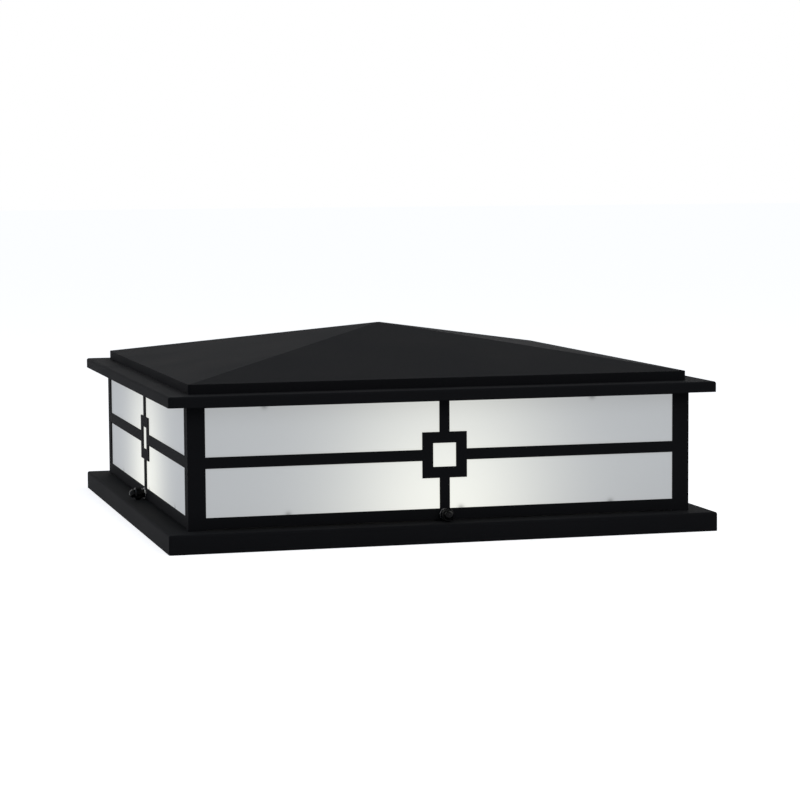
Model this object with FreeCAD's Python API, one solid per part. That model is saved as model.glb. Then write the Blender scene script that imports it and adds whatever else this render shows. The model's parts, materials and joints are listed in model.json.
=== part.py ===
import FreeCAD, Part
import math
import os

# A square deck post cap light: a sheet-metal tray that caps the post, a lamp standing on it,
# and a lift-off lantern (angle frame, frosted panels, eave pan and pyramid roof) held down by
# a thumb nut at the middle of each side.
# Millimetres. The origin is the centre of the tray's lower edge, +Z is up, the front faces -Y.
# Pieces that repeat on the four sides are modelled on the front and turned about Z.

Vector = FreeCAD.Vector

# Sheet and stock
SHEET = 1.5                 # gauge of the tray, the eave pan and the roof
FOLD_INSIDE = 1.0           # inside radius of the folded edges
CORNER_INSIDE = 1.4         # inside radius of the pans' upright corners
FRAME_GAUGE = 1.6           # thickness of the angle bars and the window bars
ANGLE_ROUND = 0.8           # rounding of an angle bar's outside edge

# Base tray
TRAY_WIDTH = 609.6
TRAY_HEIGHT = 20.8
LEDGE = 24.8                # width of the tray left open round the lantern
SCREW_SPACING = 406.4       # post screws, hole to hole
SCREW_HOLE = 7.2            # diameter
WIRE_HOLE = 22.2            # diameter of the wiring hole

# Wiring grommet
GROMMET_FIT = 0.1           # between its groove and the hole's edge
GROMMET_LIP = 3.0           # how far its lips reach past the hole
GROMMET_LIP_THICK = 2.4
GROMMET_BORE = 16.0         # diameter

# Lantern frame
POST_LENGTH = 142.5         # tray to eave pan
POST_LEG = 19.0
POST_FOOT_GAP = 0.2         # the lantern's feet over the tray
DRAIN_GAP = 1.5             # bottom rails over the tray
BOTTOM_SHELF = 12.0         # inward leg of the bottom rails
TOP_RAIL_HEIGHT = 13.0
TOP_SHELF = 12.0            # inward leg of the top rails

# Window bars and panels
BAR_HEIGHT = 12.0           # level bar
BAR_WIDTH = 11.0            # upright bar
RING_WIDTH = 49.6
RING_HOLE = 25.8
PANEL_THICK = 3.0
PANEL_GAP = 0.2             # between the panel and the bars it lies against
PANEL_LOW_LAP = 2.0         # behind the bottom rail
PANEL_TOP_LAP = 6.0         # behind the top rail
PANEL_CORNER_GAP = 6.2      # edge of one panel to the face of the next

# Panel clips, placed along each side from the posts or from the middle
CLIP_GAUGE = 1.0
CLIP_WIDTH = 8.0
CLIP_FIT = 0.2
CLIP_LIP = 3.8              # length of the lip over a panel's lower edge
CLIP_TOP_LIP = 6.8          # length of the lip over a panel's upper edge
CLIP_LEG = 5.0              # length along the rail
LOW_CLIP_LEFT = 88.0
LOW_CLIP_MIDDLE = 20.0
LOW_CLIP_RIGHT = 72.0
TOP_CLIP_LEFT = 64.0
TOP_CLIP_RIGHT = 93.0

# Eave pan and roof
EAVE_OVERHANG = 23.4        # past the lantern body
EAVE_FLANGE = 11.6
ROOF_INSET = 25.8           # roof skirt in from the eave's edge
ROOF_SKIRT = 10.4
ROOF_RISE = 45.1            # skirt to apex
ROOF_CORNER_INSIDE = 2.4
APEX_FLAT = 3.0             # width of the welded tip
TAB_HEIGHT = 7.0            # roof tab, up the skirt
TAB_WIDTH = 24.0
TAB_FOOT = 22.0
TAB_SCREW_PLACE = 14.0      # in from the roof's skirt
SCREW_SHANK = 3.6           # diameter of the sheet-metal screws
SCREW_FIT = 0.1             # round a screw in its hole
SCREW_HEAD = 7.0            # diameter
SCREW_HEAD_HEIGHT = 2.4
SCREW_TIP = 4.0             # how far a screw runs past the sheets
EAVE_SCREW_PLACE = 120.0    # along each side from its middle

# Clamps: a tab and stud on the tray, a washer and a thumb nut outside the rail
STUD_RISE = 7.4             # stud's axis over the tray
STUD_DIAMETER = 4.8
STUD_REACH = 14.0           # past the lantern's face
NOTCH_CLEARANCE = 0.7       # round the stud in the rail
CLAMP_TAB_GAUGE = 2.0
CLAMP_TAB_WIDTH = 20.0
CLAMP_TAB_FOOT = 14.0
CLAMP_TAB_RIM = 1.0         # over the stud
CLAMP_TAB_CLEARANCE = 0.4   # to the rail in front of it
SHELF_CLEARANCE = 4.0       # cut-out in the rail's shelf, each side of the tab
PANEL_TAB_GAP = 0.7         # panel over the tab
FACE_GAP = 0.3              # washer to the lantern's face
WASHER_THICK = 1.2
WASHER_WIDTH = 12.6
WASHER_FIT = 0.3            # round the stud
NUT_GAP = 0.2               # nut to washer
NUT_FIT = 0.05              # round the stud
NUT_LEDGE_GAP = 0.3         # collar over the tray
NUT_NECK = 2.5
NUT_NECK_WIDTH = 10.4
NUT_COLLAR = 8.0
NUT_DOME_WIDTH = 10.0
NUT_DOME_WALL = 1.4         # cylinder between the collar and the round end
DOME_STEPS = 2
NUT_RIBS = 16
NUT_RIB_DEPTH = 0.8

# Bulb, a frosted tube on a medium screw base, measured from its contact
TUBE_RADIUS = 16.0
BULB_LENGTH = 141.0
NECK_RADIUS = 12.2
NECK_START = 19.0           # inside the base
NECK_END = 27.0
SHOULDER_LENGTH = 12.0      # neck to tube
END_CHAMFER = 4.0           # at the tube's end
BASE_RADIUS = 13.0
BASE_GAUGE = 0.4
BASE_START = 4.0
BASE_END = 25.0
CONTACT_RADIUS = 4.6
CONTACT_THICK = 1.0
INSULATOR_RADIUS = 5.6      # of its small end
INSULATOR_FIT = 0.2

# Lamp holder and its bracket
BRACKET_GAUGE = 1.5
BRACKET_WIDTH = 40.0
BRACKET_FOOT = 30.0
BRACKET_OVER = 21.0         # over the holder's axis
BRACKET_ROUND = 8.0
HOLDER_LENGTH = 44.0
HOLDER_FLOOR = 14.0         # thickness of its back
HOLDER_WALL = 3.0
HOLDER_CHAMFER = 3.0
HOLDER_TRAY_GAP = 18.0      # over the tray
SHELL_CLEARANCE = 0.3       # round the bulb's base
SHELL_GAUGE = 0.5
SHELL_FIT = 0.2             # round the shell in the holder
SHELL_SETBACK = 2.5         # in from the holder's mouth
SHELL_FLOOR_HOLE = 8.0      # radius
CONTACT_RISE = 2.3          # spring contact over the holder's floor
CONTACT_GAUGE = 0.4
CONTACT_WIDTH = 6.0
CONTACT_LENGTH = 13.0
BULB_CONTACT_GAP = 0.2
NIPPLE_DIAMETER = 9.8
NIPPLE_BORE = 7.0
NIPPLE_FIT = 0.1
NIPPLE_DEPTH = 7.0          # into the holder
NIPPLE_END = 1.5            # past the locknut
LOCKNUT_FLATS = 14.0
LOCKNUT_THICK = 3.0
GROUND_SCREW_RISE = 14.0    # over the tray
GROUND_SCREW_REACH = 6.0

# Levels and half widths that follow
tray_half = TRAY_WIDTH / 2
body_half = tray_half - LEDGE
eave_half = body_half + EAVE_OVERHANG
roof_half = eave_half - ROOF_INSET
tray_under = TRAY_HEIGHT - SHEET
stud_level = TRAY_HEIGHT + STUD_RISE
stud_radius = STUD_DIAMETER / 2
clamp_tab_top = stud_level + stud_radius + CLAMP_TAB_RIM
panel_low = clamp_tab_top + PANEL_TAB_GAP
rail_low = TRAY_HEIGHT + DRAIN_GAP
rail_top = panel_low + PANEL_LOW_LAP
eave_under = TRAY_HEIGHT + POST_LENGTH
eave_top = eave_under + SHEET
top_rail_low = eave_under - TOP_RAIL_HEIGHT
panel_top = top_rail_low + PANEL_TOP_LAP
roof_fold = eave_top + ROOF_SKIRT
roof_apex = roof_fold + ROOF_RISE
rail_half = body_half - POST_LEG
frame_inside = body_half - FRAME_GAUGE
panel_outside = frame_inside - PANEL_GAP
panel_inside = panel_outside - PANEL_THICK
shell_inside = BASE_RADIUS + SHELL_CLEARANCE
holder_inside = shell_inside + SHELL_GAUGE + SHELL_FIT
holder_outside = holder_inside + HOLDER_WALL
lamp_level = TRAY_HEIGHT + HOLDER_TRAY_GAP + holder_outside
bulb_seat = HOLDER_FLOOR + CONTACT_RISE + BULB_CONTACT_GAP
bracket_face = -(bulb_seat + (BASE_END + BULB_LENGTH) / 2)

SIDES = ("front", "right", "back", "left")
CORNERS = ("front_left", "front_right", "back_right", "back_left")
OVERCUT = 1.0               # how far a cutting shape runs past what it cuts
UP = Vector(0, 0, 1)
TINY = 1e-6


def block(x_low, x_high, y_low, y_high, z_low, z_high):
    return Part.makeBox(x_high - x_low, y_high - y_low, z_high - z_low, Vector(x_low, y_low, z_low))


def upright_edges(solid):
    """The straight edges that run along Z."""
    found = []
    for edge in solid.Edges:
        ends = [vertex.Point for vertex in edge.Vertexes]
        if len(ends) == 2 and math.hypot(ends[0].x - ends[1].x, ends[0].y - ends[1].y) < TINY:
            found.append(edge)
    return found


def level_edges(solid, level):
    """The edges that lie at one height."""
    return [edge for edge in solid.Edges if all(abs(v.Z - level) < TINY for v in edge.Vertexes)]


def rounded_block(half, low, top, corner, fold):
    """A square block with rounded upright corners and a rounded upper rim."""
    solid = block(-half, half, -half, half, low, top)
    solid = solid.makeFillet(corner, upright_edges(solid))
    return solid.makeFillet(fold, level_edges(solid, top))


def folded_pan(half, low, top):
    """An upside-down pan of sheet: a flat top and a flange folded down all round."""
    outside = rounded_block(half, low, top, CORNER_INSIDE + SHEET, FOLD_INSIDE + SHEET)
    inside = rounded_block(half - SHEET, low - OVERCUT, top - SHEET, CORNER_INSIDE, FOLD_INSIDE)
    return outside.cut(inside)


def prism(points, direction):
    """The outline through the points, drawn out along the direction."""
    return Part.Face(Part.makePolygon(list(points) + [points[0]])).extrude(direction)


class HalfSection:
    """The outline of a turned piece: radius from the axis and distance along it."""

    def __init__(self, radius, along):
        self.start = Vector(radius, 0, along)
        self.here = self.start
        self.edges = []

    def line(self, radius, along):
        point = Vector(radius, 0, along)
        if point.distanceToPoint(self.here) > TINY:
            self.edges.append(Part.makeLine(self.here, point))
            self.here = point

    def turn(self, origin, direction):
        """Closes the outline, turns it into a solid and stands it on its axis."""
        self.line(self.start.x, self.start.z)
        solid = Part.Face(Part.Wire(self.edges)).revolve(Vector(0, 0, 0), UP, 360)
        solid.Placement = FreeCAD.Placement(origin, FreeCAD.Rotation(UP, direction))
        return solid


def disc_stack(steps, origin, direction):
    """A turned piece of plain steps, each (start, end, radius), joined end to end."""
    first, last = steps[0], steps[-1]
    section = HalfSection(0, first[0])
    for start, end, radius in steps:
        section.line(radius, start)
        section.line(radius, end)
    section.line(0, last[1])
    return section.turn(origin, direction)


def rod(radius, start, end, origin, direction):
    return disc_stack([(start, end, radius)], origin, direction)


def four_times(shape):
    """The front's shape turned to each of the four sides, in the order of SIDES and CORNERS."""
    turned = []
    for quarter in range(4):
        copy = shape.copy()
        copy.rotate(Vector(0, 0, 0), UP, 90 * quarter)
        turned.append(copy)
    return turned


def export(name, shape):
    shape.exportStep("parts/" + name + ".step")


def export_each(prefix, names, shape):
    for name, turned in zip(names, four_times(shape)):
        export(prefix + "_" + name, turned)


def export_group(name, shapes):
    """Separate solids that share one file."""
    export(name, Part.makeCompound([solid for shape in shapes for solid in shape.Solids]))


# Base tray and what is fixed to it

def base_tray():
    tray = folded_pan(tray_half, 0, TRAY_HEIGHT)
    reach = SCREW_SPACING / 2
    holes = [rod(WIRE_HOLE / 2, tray_under - OVERCUT, TRAY_HEIGHT + OVERCUT, Vector(), UP)]
    for x in (-reach, reach):
        for y in (-reach, reach):
            holes.append(rod(SCREW_HOLE / 2, tray_under - OVERCUT, TRAY_HEIGHT + OVERCUT,
                             Vector(x, y, 0), UP))
    return tray.cut(holes)


def wire_grommet():
    """A rubber ring that sits in the wiring hole with a lip on each side of the sheet."""
    bore = GROMMET_BORE / 2
    groove = WIRE_HOLE / 2 - GROMMET_FIT
    lip = WIRE_HOLE / 2 + GROMMET_LIP
    low = tray_under - GROMMET_LIP_THICK
    high = TRAY_HEIGHT + GROMMET_LIP_THICK
    belly = lip - GROMMET_LIP / 2
    section = HalfSection(bore, low)
    section.line(belly, low)
    section.line(lip, tray_under)
    section.line(groove, tray_under)
    section.line(groove, TRAY_HEIGHT)
    section.line(lip, TRAY_HEIGHT)
    section.line(belly, high)
    section.line(bore, high)
    return section.turn(Vector(), UP)


def clamp_tab():
    """An angle clip on the tray, just inside the bottom rail."""
    front = -frame_inside + CLAMP_TAB_CLEARANCE
    half = CLAMP_TAB_WIDTH / 2
    rise = block(-half, half, front, front + CLAMP_TAB_GAUGE, TRAY_HEIGHT, clamp_tab_top)
    foot = block(-half, half, front, front + CLAMP_TAB_FOOT, TRAY_HEIGHT, TRAY_HEIGHT + CLAMP_TAB_GAUGE)
    return rise.fuse(foot).removeSplitter()


def along_stud(steps):
    """A turned piece on the front stud's axis, by distances outwards from the lantern's face."""
    return disc_stack(steps, Vector(0, -body_half, stud_level), Vector(0, -1, 0))


def clamp_stud():
    return along_stud([(-FRAME_GAUGE - CLAMP_TAB_CLEARANCE, STUD_REACH, stud_radius)])


def washer():
    steps = [(FACE_GAP, FACE_GAP + WASHER_THICK, WASHER_WIDTH / 2)]
    hole = [(FACE_GAP - OVERCUT, FACE_GAP + WASHER_THICK + OVERCUT, stud_radius + WASHER_FIT)]
    return along_stud(steps).cut(along_stud(hole))


def thumb_nut():
    """A closed nut: a neck, a ribbed collar for the fingers and a domed end."""
    start = FACE_GAP + WASHER_THICK + NUT_GAP
    collar_start = start + NUT_NECK
    dome_start = collar_start + NUT_COLLAR + NUT_DOME_WALL
    dome = NUT_DOME_WIDTH / 2
    section = HalfSection(0, start)
    section.line(NUT_NECK_WIDTH / 2, start)
    section.line(NUT_NECK_WIDTH / 2, collar_start)
    section.line(dome, collar_start)
    for step in range(DOME_STEPS):
        angle = math.pi / 2 * step / DOME_STEPS
        section.line(dome * math.cos(angle), dome_start + dome * math.sin(angle))
    section.line(0, dome_start + dome * math.sin(angle))
    axis_point = Vector(0, -body_half, stud_level)
    outwards = Vector(0, -1, 0)
    core = section.turn(axis_point, outwards)
    rib_points = []
    for number in range(2 * NUT_RIBS):
        angle = math.pi * number / NUT_RIBS
        reach = STUD_RISE - NUT_LEDGE_GAP - NUT_RIB_DEPTH * (number % 2)
        rib_points.append(axis_point + Vector(reach * math.sin(angle), -collar_start, reach * math.cos(angle)))
    collar = prism(rib_points, outwards * NUT_COLLAR)
    bore = rod(stud_radius + NUT_FIT, start - OVERCUT, STUD_REACH + NUT_DOME_WALL / 2, axis_point, outwards)
    return core.fuse(collar).cut(bore)


# Lamp: bracket, holder and bulb, on an axis along X

def lamp_point():
    return Vector(bracket_face, 0, lamp_level)


def along_lamp(steps):
    """A turned piece on the lamp's axis, by distances from the bracket's face."""
    return disc_stack(steps, lamp_point(), Vector(1, 0, 0))


def lamp_bracket():
    """A bent strip: a foot on the tray and a rounded upright that carries the holder."""
    back = bracket_face - BRACKET_GAUGE
    heel = back - BRACKET_FOOT
    top = lamp_level + BRACKET_OVER
    half = BRACKET_WIDTH / 2
    upright = block(back, bracket_face, -half, half, TRAY_HEIGHT, top)
    foot = block(heel, bracket_face, -half, half, TRAY_HEIGHT, TRAY_HEIGHT + BRACKET_GAUGE)
    strip = upright.fuse(foot).removeSplitter()
    bend = [edge for edge in level_edges(strip, TRAY_HEIGHT)
            if all(abs(vertex.X - bracket_face) < TINY for vertex in edge.Vertexes)]
    strip = strip.makeFillet(BRACKET_GAUGE, bend)
    crowns = [edge for edge in level_edges(strip, top)
              if abs(edge.Vertexes[0].X - edge.Vertexes[-1].X) > TINY]
    strip = strip.makeFillet(BRACKET_ROUND, crowns)
    nipple_hole = along_lamp([(-BRACKET_GAUGE - OVERCUT, OVERCUT, NIPPLE_DIAMETER / 2 + NIPPLE_FIT)])
    screw_hole = rod(SCREW_SHANK / 2 + SCREW_FIT, -BRACKET_GAUGE - OVERCUT, OVERCUT,
                     Vector(bracket_face, 0, TRAY_HEIGHT + GROUND_SCREW_RISE), Vector(1, 0, 0))
    return strip.cut([nipple_hole, screw_hole])


def lamp_holder():
    """The moulded holder: a cup with a thick bored back."""
    section = HalfSection(0, 0)
    section.line(holder_outside - HOLDER_CHAMFER, 0)
    section.line(holder_outside, HOLDER_CHAMFER)
    section.line(holder_outside, HOLDER_LENGTH)
    section.line(holder_inside, HOLDER_LENGTH)
    section.line(holder_inside, HOLDER_FLOOR)
    section.line(0, HOLDER_FLOOR)
    cup = section.turn(lamp_point(), Vector(1, 0, 0))
    return cup.cut(along_lamp([(-OVERCUT, NIPPLE_DEPTH, NIPPLE_DIAMETER / 2 + NIPPLE_FIT)]))


def screw_shell():
    """The brass cup that the bulb screws into."""
    end = HOLDER_LENGTH - SHELL_SETBACK
    cup = along_lamp([(HOLDER_FLOOR, end, shell_inside + SHELL_GAUGE)])
    hollow = along_lamp([(HOLDER_FLOOR + SHELL_GAUGE, end + OVERCUT, shell_inside)])
    floor_hole = along_lamp([(HOLDER_FLOOR - OVERCUT, end, SHELL_FLOOR_HOLE)])
    return cup.cut([hollow, floor_hole])


def centre_contact():
    """A springy strip, bent up in the middle to meet the bulb."""
    quarter = CONTACT_LENGTH / 4
    low = bracket_face + HOLDER_FLOOR
    high = low + CONTACT_RISE
    path = [(-2 * quarter, low), (-quarter, low), (-quarter / 2, high - CONTACT_GAUGE),
            (quarter / 2, high - CONTACT_GAUGE), (quarter, low), (2 * quarter, low)]
    near = [Vector(x, -CONTACT_WIDTH / 2, lamp_level + z) for z, x in path]
    far = [Vector(x + CONTACT_GAUGE, -CONTACT_WIDTH / 2, lamp_level + z) for z, x in reversed(path)]
    return prism(near + far, Vector(0, CONTACT_WIDTH, 0))


def nipple():
    start = -BRACKET_GAUGE - LOCKNUT_THICK - NIPPLE_END
    tube = along_lamp([(start, NIPPLE_DEPTH, NIPPLE_DIAMETER / 2)])
    return tube.cut(along_lamp([(start - OVERCUT, NIPPLE_DEPTH + OVERCUT, NIPPLE_BORE / 2)]))


def locknut():
    start = bracket_face - BRACKET_GAUGE - LOCKNUT_THICK
    across_corners = LOCKNUT_FLATS / math.cos(math.pi / 6)
    points = []
    for corner in range(6):
        angle = math.pi / 3 * corner
        points.append(Vector(start, across_corners / 2 * math.cos(angle),
                             lamp_level + across_corners / 2 * math.sin(angle)))
    nut = prism(points, Vector(LOCKNUT_THICK, 0, 0))
    bore = along_lamp([(-BRACKET_GAUGE - LOCKNUT_THICK - OVERCUT, OVERCUT,
                        NIPPLE_DIAMETER / 2 + NIPPLE_FIT)])
    return nut.cut(bore)


def flat_screw(grip, tip, origin, direction):
    """A plain-headed screw that bears at the origin, with its shank along the direction."""
    return disc_stack([(-SCREW_HEAD_HEIGHT, 0, SCREW_HEAD / 2), (0, grip + tip, SCREW_SHANK / 2)],
                      origin, direction)


def ground_screw():
    place = Vector(bracket_face - BRACKET_GAUGE, 0, TRAY_HEIGHT + GROUND_SCREW_RISE)
    return flat_screw(BRACKET_GAUGE, GROUND_SCREW_REACH, place, Vector(1, 0, 0))


def bulb_point():
    return Vector(bracket_face + bulb_seat, 0, lamp_level)


def bulb_globe():
    """The frosted envelope: a neck inside the base, a shoulder and the tube. It stays solid inside."""
    tube_start = NECK_END + SHOULDER_LENGTH
    section = HalfSection(0, NECK_START)
    section.line(NECK_RADIUS, NECK_START)
    section.line(NECK_RADIUS, NECK_END)
    section.line(TUBE_RADIUS, tube_start)
    section.line(TUBE_RADIUS, BULB_LENGTH - END_CHAMFER)
    section.line(TUBE_RADIUS - END_CHAMFER, BULB_LENGTH)
    section.line(0, BULB_LENGTH)
    return section.turn(bulb_point(), Vector(1, 0, 0))


def bulb_base():
    sleeve = disc_stack([(BASE_START, BASE_END, BASE_RADIUS)], bulb_point(), Vector(1, 0, 0))
    inside = rod(BASE_RADIUS - BASE_GAUGE, BASE_START - OVERCUT, BASE_END + OVERCUT,
                 bulb_point(), Vector(1, 0, 0))
    return sleeve.cut(inside)


def bulb_insulator():
    plug = BASE_RADIUS - BASE_GAUGE - INSULATOR_FIT
    return disc_stack([(CONTACT_THICK, BASE_START, INSULATOR_RADIUS),
                       (BASE_START, BASE_START + CONTACT_THICK, plug)], bulb_point(), Vector(1, 0, 0))


def bulb_contact():
    return disc_stack([(0, CONTACT_THICK, CONTACT_RADIUS)], bulb_point(), Vector(1, 0, 0))


# Lantern frame

def corner_post():
    """The front left angle post."""
    low = TRAY_HEIGHT + POST_FOOT_GAP
    corner = -body_half
    front_leg = block(corner, corner + POST_LEG, corner, corner + FRAME_GAUGE, low, eave_under)
    side_leg = block(corner, corner + FRAME_GAUGE, corner, corner + POST_LEG, low, eave_under)
    post = front_leg.fuse(side_leg).removeSplitter()
    outside = [edge for edge in upright_edges(post)
               if abs(edge.Vertexes[0].X - corner) < TINY and abs(edge.Vertexes[0].Y - corner) < TINY]
    return post.makeFillet(ANGLE_ROUND, outside)


def angle_rail(leg_low, leg_high, shelf_low, shelf_width):
    """An angle bar between the front posts: an upright leg in the face and a shelf inwards."""
    face = -body_half
    leg = block(-rail_half, rail_half, face, face + FRAME_GAUGE, leg_low, leg_high)
    shelf = block(-rail_half, rail_half, face, face + shelf_width, shelf_low, shelf_low + FRAME_GAUGE)
    return leg.fuse(shelf).removeSplitter()


def bottom_rail():
    """Open below at the middle, so that it lifts off its stud and past the clamp tab."""
    rail = angle_rail(rail_low, rail_top, rail_low, BOTTOM_SHELF)
    notch = stud_radius + NOTCH_CLEARANCE
    slot = block(-notch, notch, -body_half - OVERCUT, -frame_inside + OVERCUT,
                 rail_low - OVERCUT, stud_level)
    round_end = rod(notch, -FRAME_GAUGE - OVERCUT, OVERCUT,
                    Vector(0, -body_half, stud_level), Vector(0, -1, 0))
    room = CLAMP_TAB_WIDTH / 2 + SHELF_CLEARANCE
    tab_room = block(-room, room, -frame_inside, -body_half + BOTTOM_SHELF + OVERCUT,
                     rail_low - OVERCUT, rail_low + FRAME_GAUGE + OVERCUT)
    return rail.cut([slot, round_end, tab_room])


def eave_screw_point():
    """Under the front top rail's shelf."""
    y = -body_half + (FRAME_GAUGE + TOP_SHELF) / 2
    return Vector(EAVE_SCREW_PLACE, y, eave_under - FRAME_GAUGE)


def top_rail():
    rail = angle_rail(top_rail_low, eave_under, eave_under - FRAME_GAUGE, TOP_SHELF)
    return rail.cut(screw_hole_at(eave_screw_point()))


def screw_hole_at(point):
    """An upright hole for a sheet-metal screw, through every sheet near the point."""
    return rod(SCREW_SHANK / 2 + SCREW_FIT, -SCREW_TIP, SCREW_TIP + SHEET, point, UP)


def window_bars():
    """One flat cut-out: a level and an upright bar, and a square ring where they cross."""
    face = -body_half
    back = face + FRAME_GAUGE
    middle = (rail_top + top_rail_low) / 2
    level = block(-rail_half, rail_half, face, back, middle - BAR_HEIGHT / 2, middle + BAR_HEIGHT / 2)
    upright = block(-BAR_WIDTH / 2, BAR_WIDTH / 2, face, back, rail_top, top_rail_low)
    ring = block(-RING_WIDTH / 2, RING_WIDTH / 2, face, back,
                 middle - RING_WIDTH / 2, middle + RING_WIDTH / 2)
    hole = block(-RING_HOLE / 2, RING_HOLE / 2, face - OVERCUT, back + OVERCUT,
                 middle - RING_HOLE / 2, middle + RING_HOLE / 2)
    return level.fuse([upright, ring]).removeSplitter().cut(hole)


def frosted_panel():
    half = panel_inside - PANEL_CORNER_GAP
    return block(-half, half, -panel_outside, -panel_inside, panel_low, panel_top)


def hook_clip(x, edge_level, up, lip):
    """A strip on the rail's back that hooks round a panel's lower (up = 1) or upper (up = -1) edge."""
    rail_side = -frame_inside
    seat = edge_level - up * CLIP_FIT
    under = seat - up * CLIP_GAUGE
    root = seat - up * CLIP_LEG
    lip_near = -panel_inside + CLIP_FIT
    lip_far = lip_near + CLIP_GAUGE
    outline = [(rail_side, root), (rail_side, seat), (lip_near, seat), (lip_near, seat + up * lip),
               (lip_far, seat + up * lip), (lip_far, under), (rail_side + CLIP_GAUGE, under),
               (rail_side + CLIP_GAUGE, root)]
    points = [Vector(x - CLIP_WIDTH / 2, y, z) for y, z in outline]
    return prism(points, Vector(CLIP_WIDTH, 0, 0))


def panel_clips():
    """The five clips of the front panel, where the window shows them."""
    lower_lip = CLIP_LIP + CLIP_FIT
    upper_lip = CLIP_TOP_LIP + CLIP_FIT
    lower = [hook_clip(x, panel_low, 1, lower_lip)
             for x in (LOW_CLIP_LEFT - rail_half, LOW_CLIP_MIDDLE, rail_half - LOW_CLIP_RIGHT)]
    upper = [hook_clip(x, panel_top, -1, upper_lip)
             for x in (TOP_CLIP_LEFT - rail_half, rail_half - TOP_CLIP_RIGHT)]
    return Part.makeCompound(lower + upper)


# Eave and roof

def roof_screw_point():
    """Under the eave pan, below the foot of the front roof tab."""
    return Vector(0, -roof_half + SHEET + TAB_SCREW_PLACE, eave_under)


def eave_pan():
    pan = folded_pan(eave_half, eave_top - EAVE_FLANGE, eave_top)
    holes = []
    for point in (eave_screw_point(), roof_screw_point()):
        holes += four_times(screw_hole_at(point))
    return pan.cut(holes)


def square_loop(half, level):
    return [Vector(-half, -half, level), Vector(half, -half, level),
            Vector(half, half, level), Vector(-half, half, level)]


def roof_solid(half, low, fold, apex, corner, tip):
    """A square block under a low pyramid, with rounded upright corners."""
    foot, eaves, top = square_loop(half, low), square_loop(half, fold), square_loop(tip, apex)
    loops = [foot, top]
    for number in range(4):
        after = (number + 1) % 4
        loops.append([foot[number], foot[after], eaves[after], eaves[number]])
        loops.append([eaves[number], eaves[after], top[after], top[number]])
    faces = [Part.Face(Part.makePolygon(loop + loop[:1])) for loop in loops]
    column = block(-half, half, -half, half, low, apex + OVERCUT)
    column = column.makeFillet(corner, upright_edges(column))
    return Part.Solid(Part.Shell(faces)).common(column)


def roof_pyramid():
    """The folded roof: four slopes and a short upright skirt, open below."""
    pitch = math.atan2(ROOF_RISE, roof_half)
    wall_drop = SHEET / math.cos(pitch)
    fold_drop = wall_drop - SHEET * math.tan(pitch)
    outside = roof_solid(roof_half, eave_top, roof_fold, roof_apex,
                         ROOF_CORNER_INSIDE + SHEET, APEX_FLAT / 2)
    inside = roof_solid(roof_half - SHEET, eave_top - OVERCUT, roof_fold - fold_drop,
                        roof_apex - wall_drop, ROOF_CORNER_INSIDE, APEX_FLAT / 2)
    return outside.cut(inside)


def roof_tab():
    """An angle clip inside the front of the roof's skirt, with a foot on the eave pan."""
    front = -roof_half + SHEET
    half = TAB_WIDTH / 2
    rise = block(-half, half, front, front + SHEET, eave_top, eave_top + TAB_HEIGHT)
    foot = block(-half, half, front, front + TAB_FOOT, eave_top, eave_top + SHEET)
    return rise.fuse(foot).removeSplitter().cut(screw_hole_at(roof_screw_point()))


def roof_screw():
    return flat_screw(2 * SHEET, SCREW_TIP / 2, roof_screw_point(), UP)


def eave_screw():
    return flat_screw(FRAME_GAUGE + SHEET, SCREW_TIP / 2, eave_screw_point(), UP)


os.makedirs("parts", exist_ok=True)

export("base_tray", base_tray())
export("wire_grommet", wire_grommet())
export_group("clamp_tabs", four_times(clamp_tab()))
export_group("clamp_studs", four_times(clamp_stud()))
export("lamp_bracket", lamp_bracket())
export("lamp_holder", lamp_holder())
export("screw_shell", screw_shell())
export("centre_contact", centre_contact())
export("holder_nipple", nipple())
export("nipple_locknut", locknut())
export("ground_screw", ground_screw())

export("bulb_globe", bulb_globe())
export("bulb_base", bulb_base())
export("bulb_insulator", bulb_insulator())
export("bulb_contact", bulb_contact())

export_each("corner_post", CORNERS, corner_post())
export_each("bottom_rail", SIDES, bottom_rail())
export_each("top_rail", SIDES, top_rail())
export_each("window_bars", SIDES, window_bars())
export_each("frosted_panel", SIDES, frosted_panel())
export_each("panel_clips", SIDES, panel_clips())
export("eave_pan", eave_pan())
export_group("eave_screws", four_times(eave_screw()))
export("roof_pyramid", roof_pyramid())
export_group("roof_tabs", four_times(roof_tab()))
export_group("roof_screws", four_times(roof_screw()))

export_each("clamp_washer", SIDES, washer())
export_each("thumb_nut", SIDES, thumb_nut())
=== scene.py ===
import json
import math

import bpy
from mathutils import Euler, Matrix, Vector

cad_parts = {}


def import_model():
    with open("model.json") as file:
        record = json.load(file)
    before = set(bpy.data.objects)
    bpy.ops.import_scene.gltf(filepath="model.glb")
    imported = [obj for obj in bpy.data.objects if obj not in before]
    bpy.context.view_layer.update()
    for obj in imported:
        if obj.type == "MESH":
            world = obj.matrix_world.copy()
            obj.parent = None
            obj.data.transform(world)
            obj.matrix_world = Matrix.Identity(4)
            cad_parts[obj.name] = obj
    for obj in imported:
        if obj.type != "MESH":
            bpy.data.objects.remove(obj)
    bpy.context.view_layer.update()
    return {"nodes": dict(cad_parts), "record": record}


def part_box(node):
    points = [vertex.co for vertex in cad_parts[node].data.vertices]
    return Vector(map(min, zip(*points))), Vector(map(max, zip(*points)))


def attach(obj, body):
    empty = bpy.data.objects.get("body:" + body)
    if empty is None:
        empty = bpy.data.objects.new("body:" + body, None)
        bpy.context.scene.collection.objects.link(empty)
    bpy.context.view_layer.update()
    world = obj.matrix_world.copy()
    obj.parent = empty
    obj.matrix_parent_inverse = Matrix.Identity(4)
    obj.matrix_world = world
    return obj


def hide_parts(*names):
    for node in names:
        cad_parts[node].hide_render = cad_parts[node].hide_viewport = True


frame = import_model()

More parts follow.
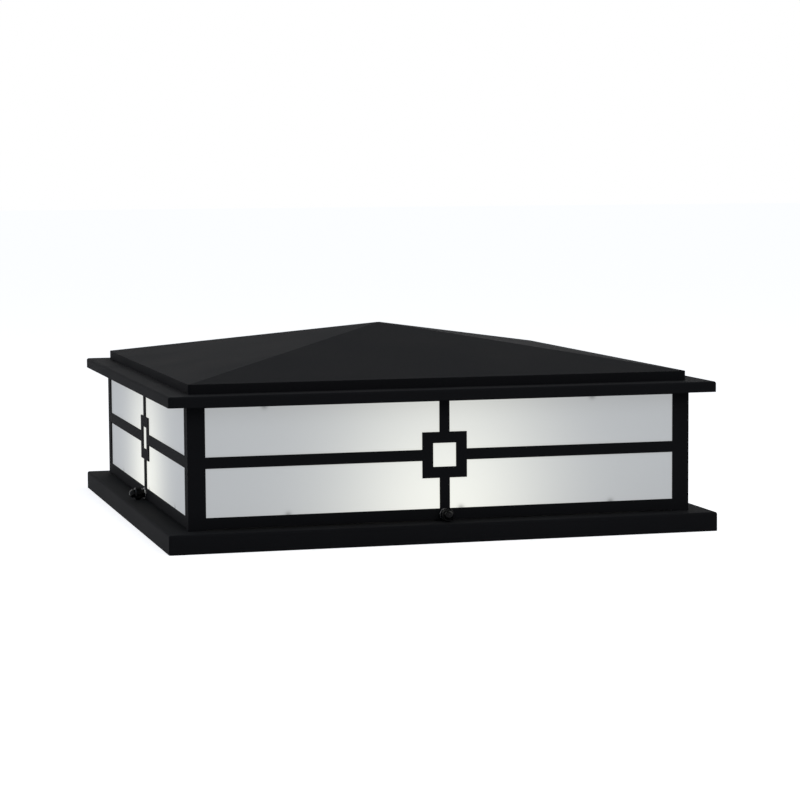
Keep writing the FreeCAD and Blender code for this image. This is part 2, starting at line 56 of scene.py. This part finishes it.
# A square deck post cap light: powder-coated sheet metal, frosted panels with a painted glow that
# stands in for one low lamp, and a ribbed thumb nut at the middle of each side. Metres, in the frame
# of the CAD model.

MM = 0.001
SIDES = ("front", "right", "back", "left")
QUARTER = math.pi / 2


def middle_of(node):
    low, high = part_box(node)
    return (Vector(low) + Vector(high)) / 2


def size_of(node):
    low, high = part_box(node)
    return Vector(high) - Vector(low)


# Node graphs

class Value:
    """A socket that can be used in Python sums. Each operator adds a Math node."""

    def __init__(self, graph, socket):
        self.graph = graph
        self.socket = socket

    def maths(self, operation, first, second=0.0):
        return self.graph.node("ShaderNodeMath", {0: first, 1: second}, operation=operation)

    def __add__(self, other):
        return self.maths("ADD", self, other)

    def __mul__(self, other):
        return self.maths("MULTIPLY", self, other)

    def __sub__(self, other):
        return self.maths("SUBTRACT", self, other)

    def __rsub__(self, other):
        return self.maths("SUBTRACT", other, self)

    def __truediv__(self, other):
        return self.maths("DIVIDE", self, other)

    def __pow__(self, other):
        return self.maths("POWER", self, other)

    def __rpow__(self, other):
        return self.maths("POWER", other, self)

    __radd__ = __add__
    __rmul__ = __mul__

    def clipped(self):
        return self.maths("MINIMUM", self.maths("MAXIMUM", self, 0.0), 1.0)


class Graph:
    """The node tree of a material, the world or a geometry pattern."""

    def __init__(self, tree):
        self.tree = tree
        tree.nodes.clear()

    def node(self, kind, inputs=None, output=0, **settings):
        """Adds a node: its settings first, then its sockets' values or links. Returns one of its
        outputs, or the node itself where it has none."""
        node = self.tree.nodes.new(kind)
        for setting, value in settings.items():
            setattr(node, setting, value)
        for key, value in (inputs or {}).items():
            if isinstance(value, Value):
                self.tree.links.new(value.socket, node.inputs[key])
            else:
                node.inputs[key].default_value = value
        return Value(self, node.outputs[output]) if node.outputs else node

    def place(self, scale=(1, 1, 1), turn=0.0):
        """Object coordinates in metres, stretched by the scale and turned about Z."""
        coordinates = self.node("ShaderNodeTexCoord", output="Object")
        return self.node("ShaderNodeMapping", {"Vector": coordinates, "Scale": scale,
                                               "Rotation": (0.0, 0.0, turn)})

    def noise(self, scale, detail=3.0, roughness=0.55, stretch=(1, 1, 1)):
        return self.node("ShaderNodeTexNoise", {"Vector": self.place(stretch), "Scale": scale,
                                                "Detail": detail, "Roughness": roughness})

    def axes(self, vector):
        parts = self.node("ShaderNodeSeparateXYZ", {0: vector}).socket.node
        return [Value(self, socket) for socket in parts.outputs]

    def mix(self, factor, first, second):
        """From one colour to another, by the Mix node's colour sockets."""
        return self.node("ShaderNodeMix", {0: factor, 6: first, 7: second}, output=2,
                         data_type="RGBA")

    def upward(self):
        """1 on faces that look up, 0 on upright ones."""
        normal = self.node("ShaderNodeNewGeometry", output="Normal")
        return self.axes(normal)[2].clipped()

    def bump(self, height, distance, strength=1.0):
        return self.node("ShaderNodeBump", {"Height": height, "Distance": distance,
                                            "Strength": strength})


def colour(red, green, blue):
    return (red, green, blue, 1.0)


def finish_of(name, build, *places):
    """A material whose Principled sockets come from build(graph, ...) as a dict."""
    material = bpy.data.materials.new(name)
    material.use_nodes = True
    graph = Graph(material.node_tree)
    surface = graph.node("ShaderNodeBsdfPrincipled", build(graph, *places))
    graph.node("ShaderNodeOutputMaterial", {"Surface": surface})
    return material


# Finishes

PAINTED_GLOW_HEIGHT = 26.0 * MM         # where the painted glow on the panels is brightest
PAINTED_GLOW_SPREAD = 120.0 * MM
PAINTED_GLOW_RISE = 1.33                # the painted glow reaches this much further up than across
# Painted shade spots where the clips' lips stand behind the panels' edges
CLIP_SHADE = 3.6 * MM
LOW_CLIP_HEIGHT = 33.8 * MM
LOW_CLIPS = (-172.4 * MM, 18.3 * MM, 189.1 * MM)
TOP_CLIP_HEIGHT = 151.0 * MM
TOP_CLIPS = (-197.0 * MM, 168.0 * MM)


def powder_coat(graph):
    """Satin black powder coat: a fine orange peel, with dust where faces look up."""
    peel = graph.noise(520.0, 2.0)
    grain = graph.noise(2600.0, 2.0)
    cloud = graph.noise(9.0, 4.0)
    dust = graph.upward() ** 3 * (cloud * 1.6 - 0.35).clipped()
    speck = ((graph.noise(1500.0, 1.0) - 0.66) * 9.0).clipped()
    paint = graph.mix(cloud, colour(0.0086, 0.0087, 0.0095), colour(0.0124, 0.0126, 0.0138))
    dusty = graph.mix(dust * 0.3, paint, colour(0.034, 0.036, 0.038))
    return {"Base Color": graph.mix(speck * 0.3, dusty, colour(0.040, 0.042, 0.046)),
            "Roughness": 0.6 + cloud * 0.1 + dust * 0.1,
            "Specular IOR Level": 0.012,
            "Normal": graph.bump(peel * 0.75 + grain * 0.25, 0.00012, 0.5)}


def bell(offset, width):
    """1 in the middle, falling off to nothing a few widths away."""
    return math.e ** (offset * offset * (-1 / (width * width)))


def clip_shade(across, high):
    """Painted shade: the soft dark spots that the clips' lips make at the panel's lower and upper
    edges.
    """
    places = [(place, LOW_CLIP_HEIGHT) for place in LOW_CLIPS]
    places += [(place, TOP_CLIP_HEIGHT) for place in TOP_CLIPS]
    spots = [bell(across - place, CLIP_SHADE) * bell(high - height, CLIP_SHADE)
             for place, height in places]
    return sum(spots).clipped()


def frosted_panel(graph, turn):
    """White etched glass with a painted glow in place of the lamp's light from behind: brightest low
    in the middle of a side.
    The turn brings its side round to the front, so that one pattern serves all four."""
    across, _, high = graph.axes(graph.place(turn=turn))
    # painted light: the panel emits a bell of light round where the lamp sits, as if lit from behind
    glow = bell(across, PAINTED_GLOW_SPREAD) * bell(high - PAINTED_GLOW_HEIGHT, PAINTED_GLOW_SPREAD * PAINTED_GLOW_RISE)
    shade = clip_shade(across, high)
    etch = graph.noise(1400.0, 2.0)
    haze = graph.noise(7.0, 3.0)
    patchy_painted_glow = (glow + (haze - 0.5) * 0.03).clipped()
    light = graph.mix(patchy_painted_glow, colour(0.366, 0.374, 0.377), colour(0.82, 0.82, 0.75))
    pane = graph.mix(haze, colour(0.225, 0.245, 0.265), colour(0.245, 0.262, 0.278))
    # painted shade: the clip spots darken both the pane and its painted glow
    return {"Base Color": graph.mix(shade * 0.5, pane, colour(0.03, 0.03, 0.03)),
            "Emission Color": graph.mix(shade * 0.5, light, colour(0.02, 0.02, 0.02)),
            "Emission Strength": 1.0,
            "Roughness": 0.48 + etch * 0.12,
            "Specular IOR Level": 0.03,
            "Normal": graph.bump(etch, 0.00004, 0.3)}


def black_oxide(graph):
    """The thumb nuts' and screws' smooth black finish, rubbed paler in patches."""
    wear = ((graph.noise(260.0, 4.0) - 0.52) * 5.0).clipped()
    black = graph.mix(wear, colour(0.003, 0.003, 0.0035), colour(0.009, 0.009, 0.0098))
    return {"Base Color": black,
            "Roughness": 0.16 + wear * 0.14,
            "Specular IOR Level": 0.08,
            "Normal": graph.bump(graph.noise(1800.0, 2.0), 0.00003, 0.3)}


def spring_steel(graph):
    """The blackened strip of the panel clips, with rolling lines along it."""
    lines = graph.noise(900.0, 2.0, stretch=(0.06, 0.06, 1.0))
    return {"Base Color": graph.mix(lines, colour(0.012, 0.012, 0.012), colour(0.035, 0.035, 0.037)),
            "Roughness": 0.34 + lines * 0.16,
            "Metallic": 0.4,
            "Normal": graph.bump(lines, 0.00003, 0.35)}


def zinc_plate(graph):
    """Bright zinc with a mottled passivated film."""
    mottle = graph.noise(140.0, 5.0)
    return {"Base Color": graph.mix(mottle, colour(0.46, 0.48, 0.52), colour(0.66, 0.66, 0.62)),
            "Roughness": 0.28 + mottle * 0.2,
            "Metallic": 0.95,
            "Normal": graph.bump(graph.noise(1500.0, 2.0), 0.00003, 0.25)}


def brass(graph):
    """Drawn brass, tarnished in patches."""
    tarnish = ((graph.noise(90.0, 5.0) - 0.42) * 2.6).clipped()
    return {"Base Color": graph.mix(tarnish, colour(0.72, 0.52, 0.23), colour(0.36, 0.24, 0.11)),
            "Roughness": 0.22 + tarnish * 0.25,
            "Metallic": 1.0,
            "Normal": graph.bump(graph.noise(900.0, 2.0, stretch=(1.0, 0.1, 0.1)), 0.00003, 0.3)}


def bulb_metal(graph):
    """The bulb's thin aluminium base, lightly rubbed on its threads."""
    rub = graph.noise(600.0, 3.0, stretch=(1.0, 0.15, 0.15))
    return {"Base Color": graph.mix(rub, colour(0.70, 0.71, 0.73), colour(0.86, 0.86, 0.87)),
            "Roughness": 0.2 + rub * 0.2,
            "Metallic": 1.0,
            "Normal": graph.bump(rub, 0.00003, 0.3)}


def bulb_frost(graph):
    """The bulb's inner white coat under smooth glass, with a warm glow round its middle."""
    grain = graph.noise(700.0, 2.0)
    along = graph.axes(graph.place())[0]
    glow = (1.0 - along * along * 180.0).clipped()
    return {"Base Color": graph.mix(grain, colour(0.80, 0.80, 0.78), colour(0.86, 0.86, 0.84)),
            "Emission Color": graph.mix(glow, colour(0.10, 0.09, 0.07), colour(0.62, 0.58, 0.50)),
            "Emission Strength": 1.0,
            "Roughness": 0.12 + grain * 0.08,
            "Normal": graph.bump(grain, 0.00001, 0.2)}


def black_phenolic(graph):
    """Moulded black-brown resin, with flow marks and a few pale specks."""
    flow = graph.noise(60.0, 5.0, stretch=(0.3, 1.0, 1.0))
    speck = ((graph.noise(1100.0, 1.0) - 0.64) * 8.0).clipped()
    body = graph.mix(flow, colour(0.014, 0.011, 0.009), colour(0.03, 0.024, 0.02))
    return {"Base Color": graph.mix(speck, body, colour(0.08, 0.07, 0.06)),
            "Roughness": 0.34 + flow * 0.18,
            "Normal": graph.bump(flow, 0.00008, 0.3)}


def black_rubber(graph):
    """The grommet's soft rubber, slightly bloomed."""
    bloom = graph.noise(120.0, 5.0)
    return {"Base Color": graph.mix(bloom, colour(0.012, 0.012, 0.012), colour(0.032, 0.032, 0.034)),
            "Roughness": 0.6 + bloom * 0.2,
            "Normal": graph.bump(graph.noise(1300.0, 3.0), 0.00006, 0.4)}


def green_zinc(graph):
    """The ground screw's green dye over zinc, thinner in patches."""
    thin = graph.noise(420.0, 4.0)
    return {"Base Color": graph.mix(thin, colour(0.02, 0.20, 0.05), colour(0.06, 0.34, 0.12)),
            "Roughness": 0.3 + thin * 0.15,
            "Metallic": 0.6,
            "Normal": graph.bump(thin, 0.00002, 0.3)}


coat = finish_of("black_powder_coat", powder_coat)
panel_glass = {"frosted_panel_" + side: finish_of("frosted_glass_" + side, frosted_panel,
                                                  -QUARTER * number)
               for number, side in enumerate(SIDES)}
oxide = finish_of("black_oxide", black_oxide)
spring = finish_of("blackened_spring_steel", spring_steel)
zinc = finish_of("zinc_plate", zinc_plate)
brass_sheet = finish_of("brass_sheet", brass)
aluminium = finish_of("bulb_aluminium", bulb_metal)
frost = finish_of("bulb_frost", bulb_frost)
phenolic = finish_of("black_phenolic", black_phenolic)
rubber = finish_of("black_rubber", black_rubber)
green = finish_of("green_zinc", green_zinc)

FINISHES = {"black_frame": coat, "black_steel": oxide, "spring_steel": spring, "zinc_steel": zinc,
            "brass": brass_sheet, "bulb_aluminium": aluminium, "frosted_bulb": frost,
            "black_phenolic": phenolic, "black_rubber": rubber, "green_steel": green}


def finish_cad_nodes():
    """Each CAD node takes the finish of its material slot, and each panel its own side's glass."""
    for part in frame["record"]["subparts"]:
        node = part["node"]
        finish = panel_glass[node] if node in panel_glass else FINISHES[part["material_slot"]]
        for slot in frame["nodes"][node].material_slots:
            slot.material = finish


# Turned pieces

ON_AXIS = 1e-7                      # a point nearer the axis than this is put on it
SHARP_EDGE = math.radians(32)       # faces that meet at more than this show an edge


def lathe(profile, steps=48, thread=None):
    """A mesh turned about Z from (radius, height) points, first and last on the axis or joined up.
    A thread is (pitch, depth, start, end) and waves the radius between two heights."""
    points, faces, rings = [], [], []
    for radius, height in profile:
        if radius == 0:
            rings.append([len(points)])
            points.append((0.0, 0.0, height))
            continue
        rings.append(list(range(len(points), len(points) + steps)))
        for step in range(steps):
            turn = step / steps
            reach = radius
            if thread and thread[2] < height < thread[3]:
                reach += thread[1] * math.cos(2 * math.pi * (height / thread[0] - turn))
            points.append((reach * math.cos(2 * math.pi * turn),
                           reach * math.sin(2 * math.pi * turn), height))
    closed = profile[0][0] > 0
    pairs = list(zip(rings, rings[1:])) + ([(rings[-1], rings[0])] if closed else [])
    for low, high in pairs:
        for step in range(steps):
            after = (step + 1) % steps
            if len(low) == 1:
                faces.append((low[0], high[after], high[step]))
            elif len(high) == 1:
                faces.append((low[step], low[after], high[0]))
            else:
                faces.append((low[step], low[after], high[after], high[step]))
    mesh = bpy.data.meshes.new("turned")
    mesh.from_pydata(points, [], faces)
    mesh.polygons.foreach_set("use_smooth", [True] * len(mesh.polygons))
    mesh.set_sharp_from_angle(angle=SHARP_EDGE)
    mesh.update()
    return mesh


def stand(mesh, place, turn):
    """The same mesh, turned and then moved to its place."""
    mesh.transform(Matrix.Translation(place) @ Euler(turn).to_matrix().to_4x4())
    return mesh


def add_piece(name, mesh, material, body, slot, *nodes):
    """Puts a finished mesh in the scene, on its body, in place of the CAD nodes."""
    mesh.name = name
    mesh.materials.clear()
    mesh.materials.append(material)
    piece = bpy.data.objects.new(name, mesh)
    bpy.context.scene.collection.objects.link(piece)
    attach(piece, body)
    if nodes:
        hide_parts(*nodes)
    return piece


def arc(centre_radius, centre_height, radius, first, last, count):
    """Points on an arc of a profile. Its angles are degrees from the way that the radius grows."""
    found = []
    for number in range(count + 1):
        angle = math.radians(first + (last - first) * number / count)
        reach = centre_radius + radius * math.cos(angle)
        found.append((reach if reach > ON_AXIS else 0.0, centre_height + radius * math.sin(angle)))
    return found


# Copies about an axis, by geometry nodes

def copies_tree():
    """Copies of a piece turned evenly about its Z axis, then stood in their place.
    Returns the tree and its inputs' identifiers."""
    tree = bpy.data.node_groups.new("copies_about_axis", "GeometryNodeTree")
    graph = Graph(tree)
    sockets = {}
    for label, kind in (("Geometry", "NodeSocketGeometry"), ("Count", "NodeSocketInt"),
                        ("Place", "NodeSocketVector"), ("Turn", "NodeSocketRotation"),
                        ("Finish", "NodeSocketMaterial")):
        socket = tree.interface.new_socket(label, in_out="INPUT", socket_type=kind)
        sockets[label] = socket.identifier
    tree.interface.new_socket("Geometry", in_out="OUTPUT", socket_type="NodeSocketGeometry")
    given = graph.node("NodeGroupInput").socket.node
    entry = {socket.name: Value(graph, socket) for socket in given.outputs if socket.name}
    spots = graph.node("GeometryNodeMeshLine", {"Count": entry["Count"], "Offset": (0.0, 0.0, 0.0)})
    angle = graph.node("GeometryNodeInputIndex") * (2 * math.pi) / entry["Count"]
    facing = graph.node("ShaderNodeCombineXYZ", {"Z": angle})
    copies = graph.node("GeometryNodeInstanceOnPoints",
                        {"Points": spots, "Instance": entry["Geometry"], "Rotation": facing})
    stood = graph.node("GeometryNodeTransform", {"Geometry": copies, "Translation": entry["Place"],
                                                 "Rotation": entry["Turn"]})
    solid = graph.node("GeometryNodeRealizeInstances", {"Geometry": stood})
    painted = graph.node("GeometryNodeSetMaterial", {"Geometry": solid, "Material": entry["Finish"]})
    graph.node("NodeGroupOutput", {0: painted})
    return tree, sockets


def copies_about_axis(pattern, mesh, count, place, turn, material):
    """The pattern run on a mesh, as one plain mesh."""
    tree, sockets = pattern
    holder = bpy.data.objects.new("pattern_holder", mesh)
    bpy.context.scene.collection.objects.link(holder)
    modifier = holder.modifiers.new("copies", "NODES")
    modifier.node_group = tree
    modifier[sockets["Count"]] = count
    modifier[sockets["Place"]] = place
    modifier[sockets["Turn"]] = turn
    modifier[sockets["Finish"]] = material
    evaluated = holder.evaluated_get(bpy.context.evaluated_depsgraph_get())
    result = bpy.data.meshes.new_from_object(evaluated)
    holder.modifiers.remove(modifier)
    bpy.data.objects.remove(holder)
    return result


# Thumb nuts: a turned core and a ring of ribs, one nut on each side

NUT_NECK = 2.5 * MM             # length of the plain neck against the washer
NUT_NECK_RADIUS = 5.2 * MM
NUT_COLLAR = 8.0 * MM           # length of the ribbed collar
NUT_CHAMFER = 0.9 * MM
NUT_DOME_RADIUS = 5.0 * MM
NUT_DOME_WALL = 1.4 * MM        # cylinder between the collar and the round end
RIB_COUNT = 26
RIB_RADIUS = 0.5 * MM
BORE_RADIUS = 2.45 * MM
BORE_DEPTH = 13.0 * MM


def nut_core(radius):
    collar_end = NUT_NECK + NUT_COLLAR
    dome_start = collar_end + NUT_DOME_WALL
    profile = [(0, BORE_DEPTH), (BORE_RADIUS, BORE_DEPTH), (BORE_RADIUS, 0), (NUT_NECK_RADIUS, 0),
               (NUT_NECK_RADIUS, NUT_NECK), (radius - NUT_CHAMFER, NUT_NECK),
               (radius, NUT_NECK + NUT_CHAMFER), (radius, collar_end - NUT_CHAMFER),
               (radius - NUT_CHAMFER, collar_end), (NUT_DOME_RADIUS, collar_end)]
    return lathe(profile + arc(0, dome_start, NUT_DOME_RADIUS, 0, 90, 12))


def nut_rib(radius):
    """One upright rib at the collar's edge."""
    length = NUT_COLLAR - 2 * NUT_CHAMFER
    end = RIB_RADIUS / 2
    rib = lathe([(0, 0), (end, 0), (RIB_RADIUS, end), (RIB_RADIUS, length - end), (end, length),
                 (0, length)], steps=10)
    return stand(rib, Vector((radius, 0, NUT_NECK + NUT_CHAMFER)), (0, 0, 0))


def thumb_nuts(pattern):
    axis = middle_of("thumb_nut_front")
    inner_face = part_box("thumb_nut_front")[1][1]
    core_radius = size_of("thumb_nut_front").z / 2 - RIB_RADIUS
    start = Vector((0, inner_face, axis.z))
    for number, side in enumerate(SIDES):
        place = Matrix.Rotation(QUARTER * number, 3, "Z") @ start
        turn = (QUARTER, 0.0, QUARTER * number)
        body = "nut_" + side
        core = stand(nut_core(core_radius), place, turn)
        add_piece("thumb_nut_core_" + side, core, oxide, body, "black_steel", "thumb_nut_" + side)
        ribs = copies_about_axis(pattern, nut_rib(core_radius), RIB_COUNT, place, turn, oxide)
        add_piece("thumb_nut_ribs_" + side, ribs, oxide, body, "black_steel")


# Screws: pan heads with a driver's recess, one on each side

SCREW_HEAD_RADIUS = 3.5 * MM
SCREW_HEAD_HEIGHT = 2.4 * MM
SCREW_SHANK_RADIUS = 1.8 * MM
EAVE_SCREW_PLACE = 120.0 * MM   # along a side, from its middle
ROOF_SCREW_PLACE = 0.0


def pan_head(shank):
    """A screw that bears at z 0 with its head below and its shank above."""
    radius, height = SCREW_HEAD_RADIUS, SCREW_HEAD_HEIGHT
    recess = radius * 0.42
    return lathe([(0, -height * 0.35), (recess * 0.5, -height * 0.5), (recess, -height),
                  (radius * 0.62, -height * 0.97), (radius * 0.88, -height * 0.72),
                  (radius, -height * 0.3), (radius, 0), (SCREW_SHANK_RADIUS, 0),
                  (SCREW_SHANK_RADIUS, shank - SCREW_SHANK_RADIUS), (0, shank)], steps=28)


def sheet_metal_screws(pattern):
    for node, place in (("eave_screws", EAVE_SCREW_PLACE), ("roof_screws", ROOF_SCREW_PLACE)):
        low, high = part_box(node)
        bearing = low[2] + SCREW_HEAD_HEIGHT
        screw = stand(pan_head(high[2] - bearing),
                      Vector((place, low[1] + SCREW_HEAD_RADIUS, bearing)), (0, 0, 0))
        screws = copies_about_axis(pattern, screw, len(SIDES), (0, 0, 0), (0, 0, 0), oxide)
        add_piece(node + "_pan_heads", screws, oxide, "lantern", "black_steel", node)


# Bulb: smooth envelope and a rolled thread on its base

BULB_NECK_RADIUS = 12.2 * MM
BULB_NECK_END = 8.0 * MM
BULB_SHOULDER_END = 22.0 * MM
BULB_END_ROUND = 13.0 * MM
SHOULDER_STEPS = 10
THREAD_PITCH = 3.63 * MM
THREAD_DEPTH = 0.45 * MM
THREAD_STEPS = 70
BASE_GAUGE = 0.4 * MM
ALONG_X = (0.0, QUARTER, 0.0)


def bulb_envelope():
    low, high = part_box("bulb_globe")
    radius = size_of("bulb_globe").z / 2
    length = high[0] - low[0]
    profile = [(0, 0), (BULB_NECK_RADIUS, 0), (BULB_NECK_RADIUS, BULB_NECK_END)]
    for number in range(1, SHOULDER_STEPS + 1):
        share = number / SHOULDER_STEPS
        blend = share * share * (3 - 2 * share)
        profile.append((BULB_NECK_RADIUS + (radius - BULB_NECK_RADIUS) * blend,
                        BULB_NECK_END + (BULB_SHOULDER_END - BULB_NECK_END) * share))
    profile += arc(radius - BULB_END_ROUND, length - BULB_END_ROUND, BULB_END_ROUND, 0, 90, 12)
    glass = lathe(profile + [(0, length)], steps=64)
    place = Vector((low[0], 0, middle_of("bulb_globe").z))
    add_piece("bulb_envelope", stand(glass, place, ALONG_X), frost, "bulb", "frosted_bulb",
              "bulb_globe")


def bulb_thread():
    low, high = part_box("bulb_base")
    radius = size_of("bulb_base").z / 2
    length = high[0] - low[0]
    wall = [(radius - THREAD_DEPTH, length * number / THREAD_STEPS)
            for number in range(THREAD_STEPS + 1)]
    lining = [(radius - 2 * THREAD_DEPTH - BASE_GAUGE, height) for _, height in reversed(wall)]
    cup = lathe(wall + lining, steps=48,
                thread=(THREAD_PITCH, THREAD_DEPTH, THREAD_PITCH, length - THREAD_PITCH / 2))
    place = Vector((low[0], 0, middle_of("bulb_globe").z))
    add_piece("bulb_base_thread", stand(cup, place, ALONG_X), aluminium, "bulb", "bulb_aluminium",
              "bulb_base")


finish_cad_nodes()
copies_pattern = copies_tree()
thumb_nuts(copies_pattern)
sheet_metal_screws(copies_pattern)
bulb_envelope()
bulb_thread()


# Floor, light and camera

WHITE = colour(1.0, 1.0, 1.0)
FLOOR_REACH = 30.0
FLOOR_LIFT = 0.8            # added to the floor where it is seen, so that it reads white
SOFT_LIGHT = 0.27           # strength of the world's own light
CENTRE = (0.0, 0.0, 0.1)    # what the soft boxes aim at


def seen_rays(graph):
    """1 for what the camera, a reflection or a clear piece sees, 0 for the light that it gives."""
    rays = graph.node("ShaderNodeLightPath").socket.node.outputs
    camera, glossy, clear = (Value(graph, rays[name])
                             for name in ("Is Camera Ray", "Is Glossy Ray", "Is Transmission Ray"))
    return (camera + glossy + clear).clipped()


def floor():
    """A pale floor that reads white and keeps the object's shadow."""
    mesh = bpy.data.meshes.new("floor")
    corners = ((-1, -1), (1, -1), (1, 1), (-1, 1))
    mesh.from_pydata([(x * FLOOR_REACH, y * FLOOR_REACH, 0) for x, y in corners], [],
                     [(0, 1, 2, 3)])
    material = bpy.data.materials.new("white_floor")
    material.use_nodes = True
    graph = Graph(material.node_tree)
    matte = graph.node("ShaderNodeBsdfDiffuse", {"Color": colour(0.8, 0.8, 0.8)})
    lift = graph.node("ShaderNodeEmission", {"Color": WHITE,
                                             "Strength": seen_rays(graph) * FLOOR_LIFT})
    surface = graph.node("ShaderNodeAddShader", {0: matte, 1: lift})
    graph.node("ShaderNodeOutputMaterial", {"Surface": surface})
    mesh.materials.append(material)
    plane = bpy.data.objects.new("floor", mesh)
    bpy.context.scene.collection.objects.link(plane)


def world():
    """White where it is seen, and a plain soft light otherwise."""
    world_block = bpy.data.worlds.new("studio")
    world_block.use_nodes = True
    bpy.context.scene.world = world_block
    graph = Graph(world_block.node_tree)
    soft = graph.node("ShaderNodeBackground", {"Color": colour(0.80, 0.87, 1.0),
                                               "Strength": SOFT_LIGHT})
    white = graph.node("ShaderNodeBackground", {"Color": WHITE, "Strength": 1.0})
    surface = graph.node("ShaderNodeMixShader", {0: seen_rays(graph), 1: soft, 2: white})
    graph.node("ShaderNodeOutputWorld", {"Surface": surface})


def soft_box(name, place, aim, size, watts, tint):
    light = bpy.data.lights.new(name, "AREA")
    light.shape = "SQUARE"
    light.size = size
    light.energy = watts
    light.color = tint
    lamp = bpy.data.objects.new(name, light)
    lamp.location = place
    lamp.rotation_euler = (Vector(aim) - Vector(place)).to_track_quat("-Z", "Y").to_euler()
    bpy.context.scene.collection.objects.link(lamp)


def camera():
    """From the front and a little left, just over the top of the light. The angles are radians,
    and the focal length is in pixels of the square frame."""
    place = Vector((-0.73983, -2.85934, 0.38903))
    yaw, pitch, roll = 0.2615223, -0.0882424, -0.0068150
    focal_pixels = 2510.9
    frame_pixels = 800.0
    forward = Vector((math.sin(yaw) * math.cos(pitch), math.cos(yaw) * math.cos(pitch),
                      math.sin(pitch)))
    level = Vector((math.cos(yaw), -math.sin(yaw), 0.0))
    over = level.cross(forward)
    right = math.cos(roll) * level + math.sin(roll) * over
    up = math.cos(roll) * over - math.sin(roll) * level
    view = bpy.data.cameras.new("camera")
    view.sensor_width = 36.0
    view.lens = focal_pixels / frame_pixels * view.sensor_width
    view.clip_end = 200.0
    eye = bpy.data.objects.new("camera", view)
    facing = Matrix((right, up, -forward)).transposed().to_4x4()
    eye.matrix_world = Matrix.Translation(place) @ facing
    bpy.context.scene.collection.objects.link(eye)
    bpy.context.scene.camera = eye


floor()
world()
soft_box("overhead", (0.3, 0.2, 2.6), CENTRE, 2.6, 9.0, (1.0, 0.99, 0.97))
soft_box("left_window", (-2.8, 0.2, 1.3), CENTRE, 1.4, 4.5, (0.32, 0.52, 1.0))
soft_box("front_fill", (0.9, -3.2, 1.9), CENTRE, 2.0, 24.0, (1.0, 1.0, 1.0))
camera()
bpy.context.scene.view_settings.view_transform = "Standard"
